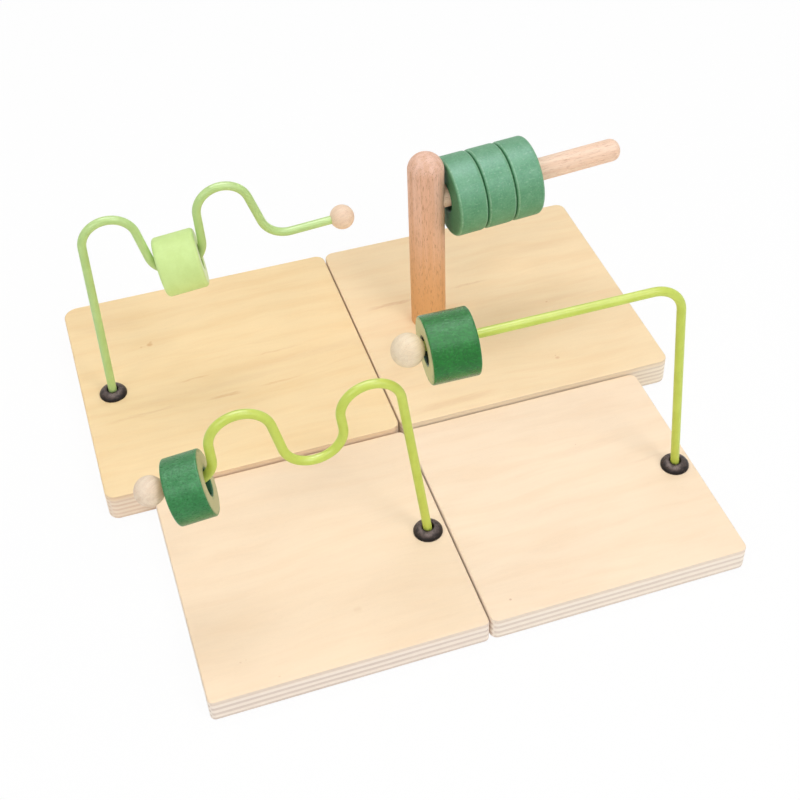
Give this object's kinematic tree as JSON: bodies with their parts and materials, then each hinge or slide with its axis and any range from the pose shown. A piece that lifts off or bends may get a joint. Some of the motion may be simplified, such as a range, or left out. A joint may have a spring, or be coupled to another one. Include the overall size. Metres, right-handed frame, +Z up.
{
  "type": "bead maze",
  "caption": "Wooden bead maze set: square plywood boards, three with bent wires carrying a bead and an end ball, one with a post and slanting rod for stacking discs.",
  "frame": {"origin": "on the table, under the middle of the set's outline", "axes": "+X to the right along the boards' edges, +Y to the rear, +Z up"},
  "size_m": [0.3508, 0.3258, 0.1664],
  "materials": {
    "birch_rear": "sanded birch plywood, clear matt lacquer",
    "birch_front": "sanded birch plywood, clear matt lacquer",
    "wire_pale": "satin powder coat, pale green",
    "wire_lime": "satin powder coat, lime green",
    "dark_metal": "black satin",
    "zinc": "bright zinc",
    "bare_wood": "bare sanded wood",
    "beech": "sanded beech, clear matt lacquer",
    "beech_pale": "sanded beech, clear matt lacquer",
    "paint_pale": "satin water-based paint over wood, pale green",
    "paint_dark": "satin water-based paint over wood, dark green",
    "paint_sea": "satin water-based paint over wood, sea green"
  },
  "bodies": {
    "back_left_station": {"back_left_board": "birch_rear", "back_left_wire": "wire_pale", "back_left_collar": "dark_metal", "back_left_washer": "zinc", "back_left_nut": "zinc", "back_left_ball": "bare_wood"},
    "back_right_station": {"back_right_board": "birch_rear", "back_right_post": "beech", "back_right_screw": "zinc", "back_right_rod": "beech_pale"},
    "front_left_station": {"front_left_board": "birch_front", "front_left_wire": "wire_lime", "front_left_collar": "dark_metal", "front_left_washer": "zinc", "front_left_nut": "zinc", "front_left_ball": "bare_wood"},
    "front_right_station": {"front_right_board": "birch_front", "front_right_wire": "wire_lime", "front_right_collar": "dark_metal", "front_right_washer": "zinc", "front_right_nut": "zinc", "front_right_ball": "bare_wood"},
    "rear_bead": {"back_left_bead": "paint_pale"},
    "left_bead": {"front_left_bead": "paint_dark"},
    "right_bead": {"front_right_bead": "paint_dark"},
    "disc_1": {"back_right_disc_1": "paint_sea"},
    "disc_2": {"back_right_disc_2": "paint_sea"},
    "disc_3": {"back_right_disc_3": "paint_sea"}
  },
  "joints": [
    {"name": "back_right_apart", "type": "slide", "parent": "back_left_station", "child": "back_right_station", "axis": [1, 0, 0], "range_m": [0, 0.15]},
    {"name": "front_left_apart", "type": "slide", "parent": "back_left_station", "child": "front_left_station", "axis": [0, -1, 0], "range_m": [0, 0.15]},
    {"name": "front_right_apart", "type": "slide", "parent": "back_right_station", "child": "front_right_station", "axis": [0, -1, 0], "range_m": [0, 0.15]},
    {"name": "rear_bead_swing", "type": "hinge", "parent": "back_left_station", "child": "rear_bead", "pos_m": [-0.105, 0.07385, 0.11678], "axis": [0, -1, 0], "range_deg": [-84, 80]},
    {"name": "left_bead_swing", "type": "hinge", "parent": "front_left_station", "child": "left_bead", "pos_m": [-0.14132, -0.09295, 0.11447], "axis": [0, -1, 0], "range_deg": [-2, 75]},
    {"name": "right_bead_slide", "type": "slide", "parent": "front_right_station", "child": "right_bead", "axis": [1, 0, 0], "range_m": [-0.0003, 0.106]},
    {"name": "disc_1_slide", "type": "slide", "parent": "back_right_station", "child": "disc_1", "axis": [0.9981, 0.0523, 0.0314], "range_m": [-0.0005, 0.1195]},
    {"name": "disc_2_slide", "type": "slide", "parent": "disc_1", "child": "disc_2", "axis": [0.9981, 0.0523, 0.0314], "range_m": [0, 0.101]},
    {"name": "disc_3_slide", "type": "slide", "parent": "disc_2", "child": "disc_3", "axis": [0.9981, 0.0523, 0.0314], "range_m": [0, 0.083]}
  ]
}
